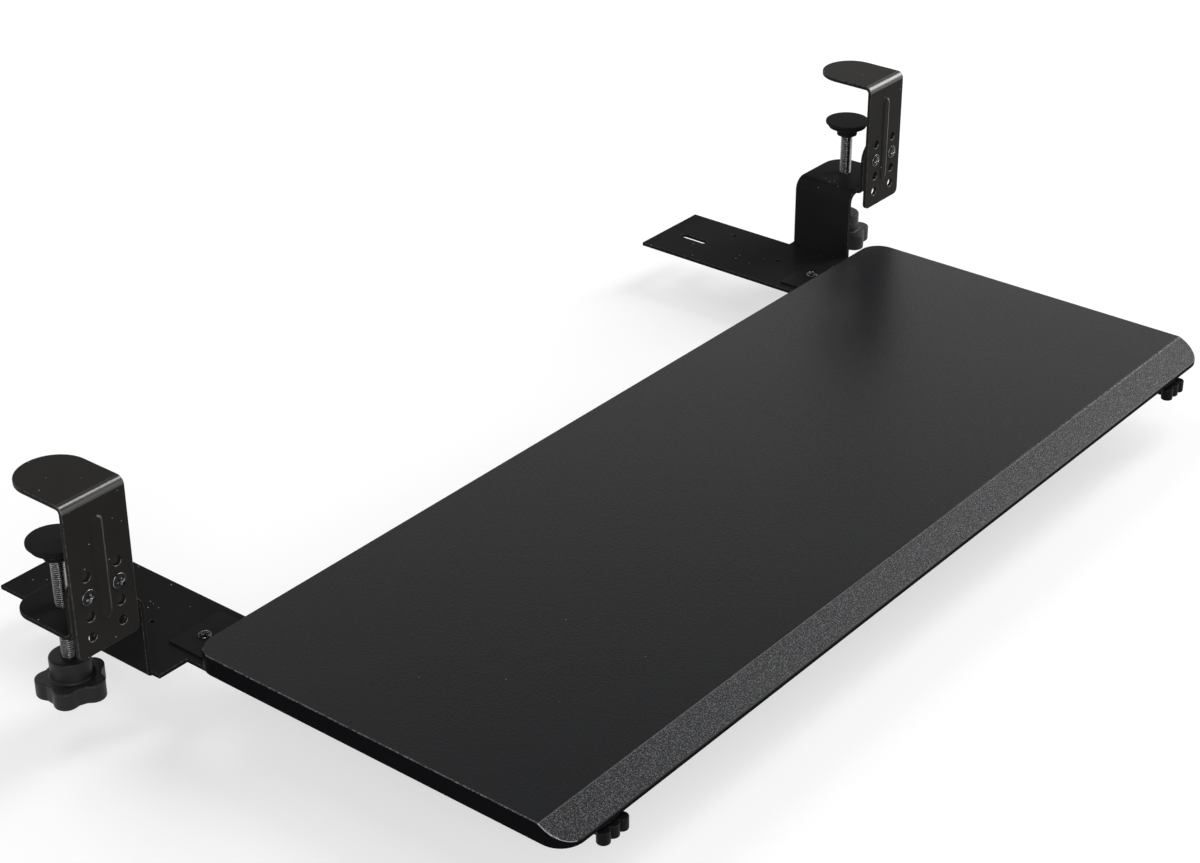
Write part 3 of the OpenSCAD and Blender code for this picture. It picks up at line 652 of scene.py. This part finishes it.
def threaded_rod(side):
    """Clamp screw: thread up to the shoulder, then the plain pivot in the pad's socket."""
    node = side + "_clamp_screw"
    low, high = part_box(node)
    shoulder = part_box(side + "_pressure_plate")[0].z - PIVOT_GAP
    shape = bmesh.new()
    thread_skin(shape, (high.x - low.x) / 2, (low.z, shoulder))
    pivot = ((PIVOT_RADIUS, shoulder - PIVOT_GAP), (PIVOT_RADIUS, high.z - PIVOT_GAP),
             (PIVOT_RADIUS - PIVOT_GAP, high.z))
    ring_skin(shape, [circle(r, z, THREAD_SIDES) for r, z in pivot])
    bmesh.ops.translate(shape, verts=shape.verts, vec=clamp_axis(side))
    place_piece(shape, node + "_threaded", [ZINC], "bright_steel", node)


def lobed(angle):
    """Distance from the knob's axis to its star outline, with soft valleys between the lobes."""
    reach = KNOB_REACH - LOBE_RADIUS
    pitch = 2 * math.pi / KNOB_LOBES
    off = (angle + pitch / 2) % pitch - pitch / 2
    lobe = reach * math.cos(off) + math.sqrt(max(LOBE_RADIUS ** 2 - (reach * math.sin(off)) ** 2, 0))
    return CORE_RADIUS + VALLEY_BLEND * math.log1p(math.exp((lobe - CORE_RADIUS) / VALLEY_BLEND))


def star(facing, inset, height, roundness=0.0, hub=0.0):
    """Ring of the knob's outline, drawn in by the inset, or part of the way to a round hub."""
    ring = []
    for i in range(KNOB_STEPS):
        angle = 2 * math.pi * i / KNOB_STEPS
        reach = (lobed(angle - KNOB_TURN) - inset) * (1 - roundness) + hub * roundness
        ring.append((facing * reach * math.cos(angle), reach * math.sin(angle), height))
    return ring


def quarter(radius):
    """Pairs (inset, rise) along a quarter round, from the side to the face."""
    angles = [math.pi / 2 * i / FILLET_STEPS for i in range(FILLET_STEPS + 1)]
    return [(radius * (1 - math.cos(a)), radius * math.sin(a)) for a in angles]


def knob(side):
    """Star knob: star with a worn upper edge, filleted neck and hub with the screw's hole."""
    node = side + "_clamp_knob"
    low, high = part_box(node)
    facing = 1 if side == "right" else -1
    star_top = low.z + STAR_HEIGHT
    rings = [star(facing, inset, low.z + STAR_FOOT - rise) for inset, rise in quarter(STAR_FOOT)[::-1]]
    rings += [star(facing, inset, star_top - STAR_FILLET + rise) for inset, rise in quarter(STAR_FILLET)]
    neck = HUB_RADIUS + NECK_FILLET
    rings += [star(facing, STAR_FILLET, star_top, share, neck) for share in NECK_SHARES]
    for inset, rise in quarter(NECK_FILLET)[1:]:
        rings.append(star(facing, 0, star_top + inset, 1.0, neck - rise))
    for inset, rise in quarter(HUB_FILLET):
        rings.append(star(facing, 0, high.z - HUB_FILLET + rise, 1.0, HUB_RADIUS - inset))
    hole_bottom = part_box(side + "_clamp_screw")[0].z
    for radius, height in ((HOLE_RADIUS + HOLE_CHAMFER, high.z), (HOLE_RADIUS, high.z - HOLE_CHAMFER),
                           (HOLE_RADIUS, hole_bottom)):
        rings.append(star(facing, 0, height, 1.0, radius))
    shape = bmesh.new()
    mark = shape.faces.layers.float.new("edge")
    ring_skin(shape, rings)
    for face in shape.faces:
        if star_top - STAR_FILLET < face.calc_center_median().z < star_top:
            face[mark] = 1.0
    bmesh.ops.translate(shape, verts=shape.verts, vec=clamp_axis(side))
    place_piece(shape, node + "_moulded", [PLASTIC], "moulded_plastic", node)


# All the pieces

board()

# Radius in millimetres and steps of the rounded edges, material and slot of each kind of piece
DRESSED = {
    "hook_screws": (0.15, 2, SCREW, "screw_steel"),
    "hook_nuts": (0.25, 2, SCREW, "screw_steel"),
    "clamp_nut": (0.3, 2, SCREW, "screw_steel"),
    "pressure_plate": (0.4, 2, BRACKET_COAT, "coated_steel"),
    "pad_face": (0.6, 3, RUBBER, "pad_rubber"),
    "fixed_rail": (0.15, 2, RAIL, "rail_steel"),
    "rail_screws": (0.12, 2, SCREW, "screw_steel"),
    "moving_rail": (0.15, 2, RAIL, "rail_steel"),
    "front_stop": (0.4, 2, STOP_PAINTED_SHADE, "moulded_plastic"),
    "rear_stop": (0.4, 2, STOP_PAINTED_SHADE, "moulded_plastic"),
    "tray_screws": (0.12, 2, SCREW, "screw_steel"),
}
KEPT = {"ball_cages": ZINC, "balls": ZINC}

for side in SIDES:
    for kind, (radius, steps, material, slot) in DRESSED.items():
        dress(f"{side}_{kind}", material, slot, radius * MM, steps)
    for kind, material in KEPT.items():
        mesh = frame["nodes"][f"{side}_{kind}"].data
        mesh.materials.clear()
        mesh.materials.append(material)
    bracket(side)
    hook(side)
    threaded_rod(side)
    knob(side)


# Stage, light and camera

def seen_rays(tree):
    """1 for camera, glossy and transmission rays, which see a white background."""
    path = add(tree, "ShaderNodeLightPath").outputs
    shown = path["Is Camera Ray"]
    for name in ("Is Glossy Ray", "Is Transmission Ray"):
        shown = combine(tree, "MAXIMUM", shown, path[name])
    return shown


def make_floor():
    """Pale floor just under the knobs' lowest place, whiter where the lamps no longer reach."""
    drop = min(j["range_m"][0] for j in frame["joints"] if j["name"].endswith("pad_lift"))
    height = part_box("left_clamp_knob")[0].z + drop - FLOOR_GAP
    shape = bmesh.new()
    bmesh.ops.create_grid(shape, x_segments=1, y_segments=1, size=FLOOR_SIZE / 2)
    bmesh.ops.translate(shape, verts=shape.verts, vec=(0, 0, height))
    mesh = bpy.data.meshes.new("floor")
    shape.to_mesh(mesh)
    shape.free()
    made, tree, shader = surface("pale_floor", Base_Color=FLOOR_COLOUR, Roughness=FLOOR_ROUGHNESS,
                                 Specular_IOR_Level=0.0, Emission_Color=(1, 1, 1, 1))
    place = add(tree, "ShaderNodeTexCoord").outputs["Object"]
    away = add(tree, "ShaderNodeVectorMath", {"operation": "LENGTH"}, Vector=place).outputs["Value"]
    growth = remap(tree, away, GLOW_NEAR, GLOW_FAR, FLOOR_GLOW, 1)
    glow = combine(tree, "MULTIPLY", seen_rays(tree), growth)
    tree.links.new(glow, shader.inputs["Emission Strength"])
    mesh.materials.append(made)
    floor = bpy.data.objects.new("floor", mesh)
    bpy.context.scene.collection.objects.link(floor)


def make_world():
    """White backdrop round the horizon under a dimmer ceiling."""
    world = bpy.data.worlds.new("studio")
    world.use_nodes = True
    tree = world.node_tree
    background = tree.nodes["Background"]
    background.inputs["Color"].default_value = (1, 1, 1, 1)
    toward = add(tree, "ShaderNodeTexCoord").outputs["Generated"]
    height = add(tree, "ShaderNodeSeparateXYZ", Vector=toward).outputs["Z"]
    strength = remap(tree, height, BACKDROP_HIGH, CEILING_LOW, 1, CEILING_LIGHT)
    tree.links.new(strength, background.inputs["Strength"])
    bpy.context.scene.world = world


def softbox(name, place, size, power):
    """Rectangular lamp that faces the middle of the object."""
    light = bpy.data.lights.new(name, "AREA")
    light.shape = "RECTANGLE"
    light.size, light.size_y = size
    light.energy = power
    lamp = bpy.data.objects.new(name, light)
    lamp.location = place
    middle = (cad_box[0] + cad_box[1]) / 2
    lamp.rotation_euler = (middle - Vector(place)).to_track_quat("-Z", "Y").to_euler()
    bpy.context.scene.collection.objects.link(lamp)


def make_camera():
    """Camera at the photograph's place, with its lens."""
    lens = bpy.data.cameras.new("photograph")
    lens.lens = CAMERA_LENS
    lens.sensor_fit = "HORIZONTAL"
    camera = bpy.data.objects.new("photograph", lens)
    camera.location = CAMERA_PLACE
    camera.rotation_euler = [math.radians(a) for a in CAMERA_DEGREES]
    bpy.context.scene.collection.objects.link(camera)
    bpy.context.scene.camera = camera


make_floor()
make_world()
for name, place, size, power in SOFTBOXES:
    softbox(name, place, size, power)
make_camera()
bpy.context.scene.view_settings.view_transform = "Standard"
